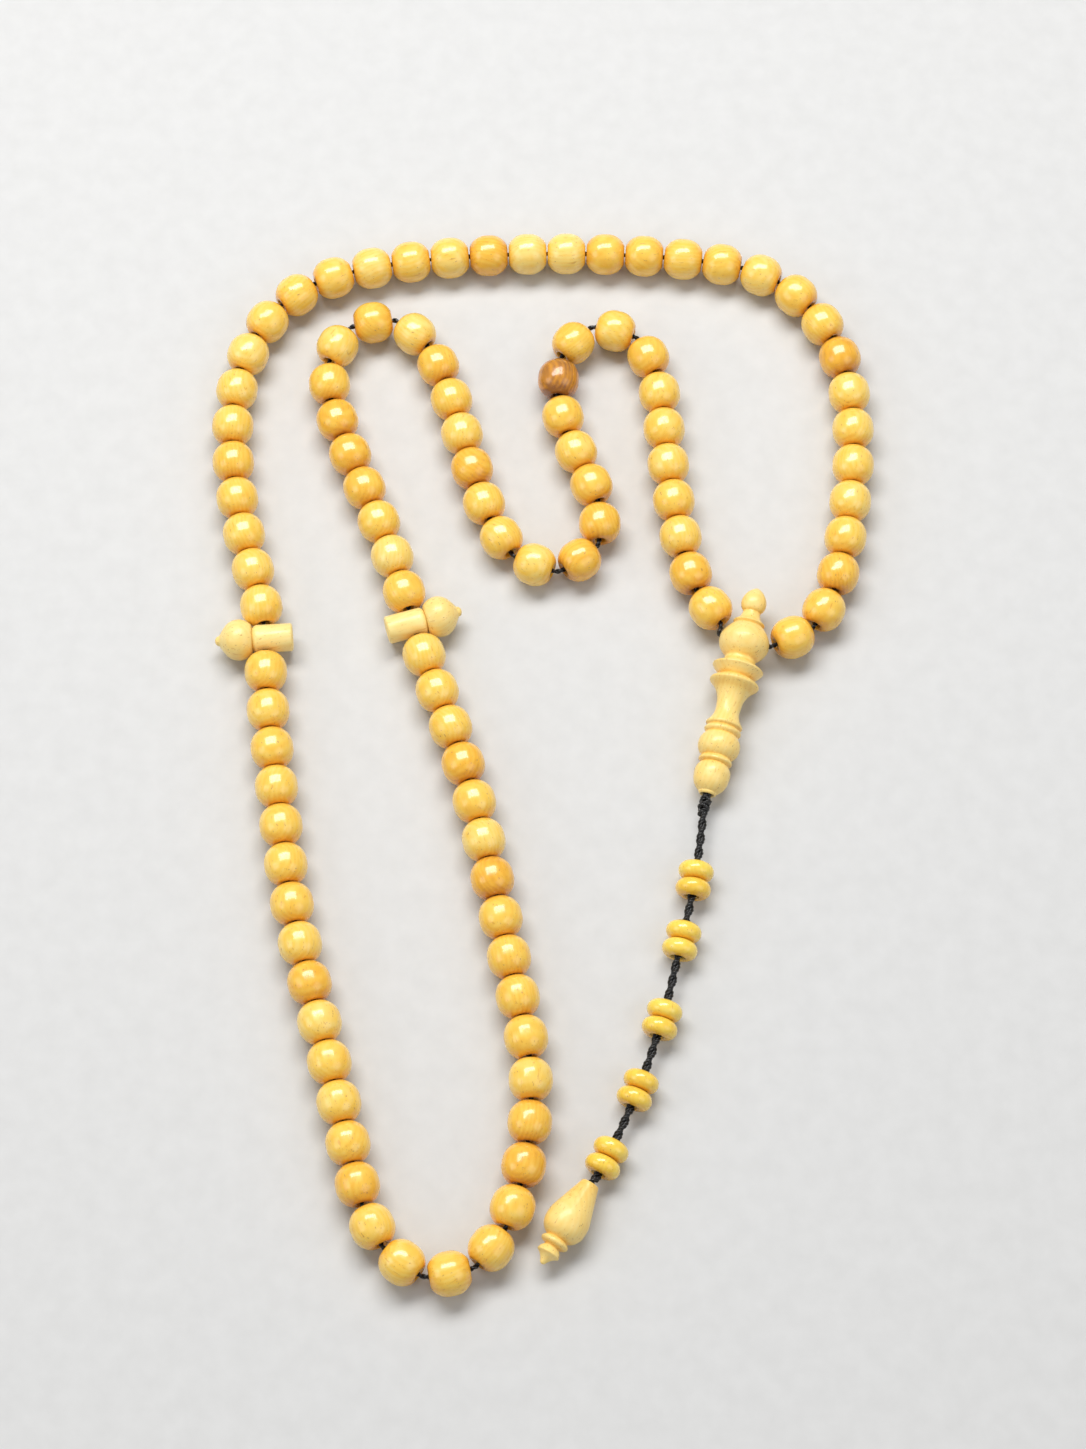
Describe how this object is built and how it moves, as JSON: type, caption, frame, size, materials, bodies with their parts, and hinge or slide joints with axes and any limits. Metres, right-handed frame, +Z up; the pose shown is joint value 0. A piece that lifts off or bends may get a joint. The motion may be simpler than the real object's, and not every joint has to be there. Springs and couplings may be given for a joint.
{
  "type": "misbaha prayer beads",
  "caption": "Loop of round polished wooden prayer beads with turned separators, a turned head piece and a corded tail of disc beads ending in a turned drop.",
  "frame": {"origin": "on the table, under the middle of everything that lies on it", "axes": "+Y from the end drop towards the far side of the loop, +X to the right as it is read with the head piece pointing away, +Z up"},
  "size_m": [0.1276, 0.2118, 0.0101],
  "materials": {
    "bead_wood": "polished pale yellow wood, colour varying from bead to bead",
    "turned_wood": "fine turned pale wood with a soft satin polish",
    "disc_wood": "polished amber yellow wood",
    "cord": "black shiny twisted cord"
  },
  "bodies": {
    "loop": {"main_string": "cord", "beads_a_04_to_12": "bead_wood", "beads_a_13_to_21": "bead_wood", "beads_a_22_to_30": "bead_wood", "beads_b_04_to_12": "bead_wood", "beads_b_13_to_21": "bead_wood", "beads_b_22_to_30": "bead_wood", "beads_c_04_to_12": "bead_wood", "beads_c_13_to_21": "bead_wood", "beads_c_22_to_30": "bead_wood"},
    "head_piece": {"head_upper": "turned_wood", "head_lower": "turned_wood", "head_cord": "cord"},
    "tail": {"tail_knot": "cord", "tail_cord": "cord"},
    "end_drop": {"end_drop": "turned_wood"},
    "left_separator": {"left_separator_pin": "turned_wood", "left_separator_cap": "turned_wood"},
    "right_separator": {"right_separator_pin": "turned_wood", "right_separator_cap": "turned_wood"},
    "disc_1_upper": {"disc_1_upper": "disc_wood"},
    "disc_1_lower": {"disc_1_lower": "disc_wood"},
    "disc_2_upper": {"disc_2_upper": "disc_wood"},
    "disc_2_lower": {"disc_2_lower": "disc_wood"},
    "disc_3_upper": {"disc_3_upper": "disc_wood"},
    "disc_3_lower": {"disc_3_lower": "disc_wood"},
    "disc_4_upper": {"disc_4_upper": "disc_wood"},
    "disc_4_lower": {"disc_4_lower": "disc_wood"},
    "disc_5_upper": {"disc_5_upper": "disc_wood"},
    "disc_5_lower": {"disc_5_lower": "disc_wood"},
    "bead_a_01": {"bead_a_01": "bead_wood"},
    "bead_a_02": {"bead_a_02": "bead_wood"},
    "bead_a_03": {"bead_a_03": "bead_wood"},
    "bead_a_31": {"bead_a_31": "bead_wood"},
    "bead_a_32": {"bead_a_32": "bead_wood"},
    "bead_a_33": {"bead_a_33": "bead_wood"},
    "bead_b_01": {"bead_b_01": "bead_wood"},
    "bead_b_02": {"bead_b_02": "bead_wood"},
    "bead_b_03": {"bead_b_03": "bead_wood"},
    "bead_b_31": {"bead_b_31": "bead_wood"},
    "bead_b_32": {"bead_b_32": "bead_wood"},
    "bead_b_33": {"bead_b_33": "bead_wood"},
    "bead_c_01": {"bead_c_01": "bead_wood"},
    "bead_c_02": {"bead_c_02": "bead_wood"},
    "bead_c_03": {"bead_c_03": "bead_wood"},
    "bead_c_31": {"bead_c_31": "bead_wood"},
    "bead_c_32": {"bead_c_32": "bead_wood"},
    "bead_c_33": {"bead_c_33": "bead_wood"}
  },
  "joints": [
    {"name": "head_lift", "type": "hinge", "parent": "loop", "child": "head_piece", "pos_m": [0.03788, 0.01883, 0.00519], "axis": [-0.9703, 0.2419, 0], "range_deg": [0, 150]},
    {"name": "tail_swing", "type": "hinge", "parent": "head_piece", "child": "tail", "pos_m": [0.02995, -0.01299, 0.00328], "axis": [-0.0141, -0.0564, 0.9983], "range_deg": [0, 75]},
    {"name": "drop_spin", "type": "hinge", "parent": "tail", "child": "end_drop", "pos_m": [0.00841, -0.08531, 0.00395], "axis": [-0.515, -0.8572, 0], "continuous": true},
    {"name": "left_separator_turn", "type": "hinge", "parent": "loop", "child": "left_separator", "pos_m": [-0.05231, 0.01984, 0.004], "axis": [0.0621, -0.9981, 0], "continuous": true},
    {"name": "right_separator_turn", "type": "hinge", "parent": "loop", "child": "right_separator", "pos_m": [-0.0244, 0.02295, 0.004], "axis": [-0.2796, 0.9601, 0], "continuous": true},
    {"name": "disc_1_upper_slide", "type": "slide", "parent": "tail", "child": "disc_1_upper", "axis": [0.1726, 0.985, -0.0009], "range_m": [0, 0.0027]},
    {"name": "disc_1_lower_slide", "type": "slide", "parent": "tail", "child": "disc_1_lower", "axis": [-0.1726, -0.985, 0.0009], "range_m": [0, 0.0018]},
    {"name": "disc_2_upper_slide", "type": "slide", "parent": "tail", "child": "disc_2_upper", "axis": [0.2301, 0.9732, 0], "range_m": [0, 0.0018]},
    {"name": "disc_2_lower_slide", "type": "slide", "parent": "tail", "child": "disc_2_lower", "axis": [-0.2301, -0.9732, 0], "range_m": [0, 0.0035]},
    {"name": "disc_3_upper_slide", "type": "slide", "parent": "tail", "child": "disc_3_upper", "axis": [0.2824, 0.9593, 0], "range_m": [0, 0.0035]},
    {"name": "disc_3_lower_slide", "type": "slide", "parent": "tail", "child": "disc_3_lower", "axis": [-0.2824, -0.9593, 0], "range_m": [0, 0.0028]},
    {"name": "disc_4_upper_slide", "type": "slide", "parent": "tail", "child": "disc_4_upper", "axis": [0.3676, 0.93, 0], "range_m": [0, 0.0028]},
    {"name": "disc_4_lower_slide", "type": "slide", "parent": "tail", "child": "disc_4_lower", "axis": [-0.3676, -0.93, 0], "range_m": [0, 0.0027]},
    {"name": "disc_5_upper_slide", "type": "slide", "parent": "tail", "child": "disc_5_upper", "axis": [0.4412, 0.8968, -0.0335], "range_m": [0, 0.0027]},
    {"name": "disc_5_lower_slide", "type": "slide", "parent": "tail", "child": "disc_5_lower", "axis": [-0.4412, -0.8968, 0.0335], "range_m": [0, 0.002]},
    {"name": "bead_a_01_spin", "type": "hinge", "parent": "loop", "child": "bead_a_01", "pos_m": [0.04697, 0.01996, 0.00432], "axis": [0.8949, 0.4404, -0.0721], "continuous": true},
    {"name": "bead_a_02_spin", "type": "hinge", "parent": "loop", "child": "bead_a_02", "pos_m": [0.05303, 0.02577, 0.004], "axis": [0.4781, 0.8783, 0], "continuous": true},
    {"name": "bead_a_03_spin", "type": "hinge", "parent": "loop", "child": "bead_a_03", "pos_m": [0.05597, 0.03322, 0.004], "axis": [0.2517, 0.9678, 0], "continuous": true},
    {"name": "bead_a_31_spin", "type": "hinge", "parent": "loop", "child": "bead_a_31", "pos_m": [-0.05695, 0.04151, 0.004], "axis": [0.2251, -0.9743, 0], "continuous": true},
    {"name": "bead_a_32_spin", "type": "hinge", "parent": "loop", "child": "bead_a_32", "pos_m": [-0.05502, 0.03406, 0.004], "axis": [0.2757, -0.9612, 0], "continuous": true},
    {"name": "bead_a_33_spin", "type": "hinge", "parent": "loop", "child": "bead_a_33", "pos_m": [-0.05321, 0.02651, 0.004], "axis": [0.1891, -0.982, 0], "continuous": true},
    {"name": "bead_b_01_spin", "type": "hinge", "parent": "loop", "child": "bead_b_01", "pos_m": [-0.05195, 0.01306, 0.004], "axis": [0.0473, -0.9989, 0], "continuous": true},
    {"name": "bead_b_02_spin", "type": "hinge", "parent": "loop", "child": "bead_b_02", "pos_m": [-0.05131, 0.00527, 0.004], "axis": [0.115, -0.9934, 0], "continuous": true},
    {"name": "bead_b_03_spin", "type": "hinge", "parent": "loop", "child": "bead_b_03", "pos_m": [-0.05035, -0.0024, 0.004], "axis": [0.1345, -0.9909, 0], "continuous": true},
    {"name": "bead_b_31_spin", "type": "hinge", "parent": "loop", "child": "bead_b_31", "pos_m": [-0.01722, 0.00192, 0.004], "axis": [-0.3277, 0.9448, 0], "continuous": true},
    {"name": "bead_b_32_spin", "type": "hinge", "parent": "loop", "child": "bead_b_32", "pos_m": [-0.01979, 0.00919, 0.004], "axis": [-0.3376, 0.9413, 0], "continuous": true},
    {"name": "bead_b_33_spin", "type": "hinge", "parent": "loop", "child": "bead_b_33", "pos_m": [-0.02234, 0.01648, 0.004], "axis": [-0.3225, 0.9466, 0], "continuous": true},
    {"name": "bead_c_01_spin", "type": "hinge", "parent": "loop", "child": "bead_c_01", "pos_m": [-0.02629, 0.02946, 0.004], "axis": [-0.2776, 0.9607, 0], "continuous": true},
    {"name": "bead_c_02_spin", "type": "hinge", "parent": "loop", "child": "bead_c_02", "pos_m": [-0.02865, 0.03685, 0.004], "axis": [-0.3302, 0.9439, 0], "continuous": true},
    {"name": "bead_c_03_spin", "type": "hinge", "parent": "loop", "child": "bead_c_03", "pos_m": [-0.03131, 0.0441, 0.004], "axis": [-0.3603, 0.9328, 0], "continuous": true},
    {"name": "bead_c_31_spin", "type": "hinge", "parent": "loop", "child": "bead_c_31", "pos_m": [0.0262, 0.04097, 0.004], "axis": [0.1712, -0.9852, 0], "continuous": true},
    {"name": "bead_c_32_spin", "type": "hinge", "parent": "loop", "child": "bead_c_32", "pos_m": [0.028, 0.03331, 0.004], "axis": [0.286, -0.9582, 0], "continuous": true},
    {"name": "bead_c_33_spin", "type": "hinge", "parent": "loop", "child": "bead_c_33", "pos_m": [0.03161, 0.02597, 0.00431], "axis": [0.5832, -0.8089, 0.0741], "continuous": true}
  ]
}
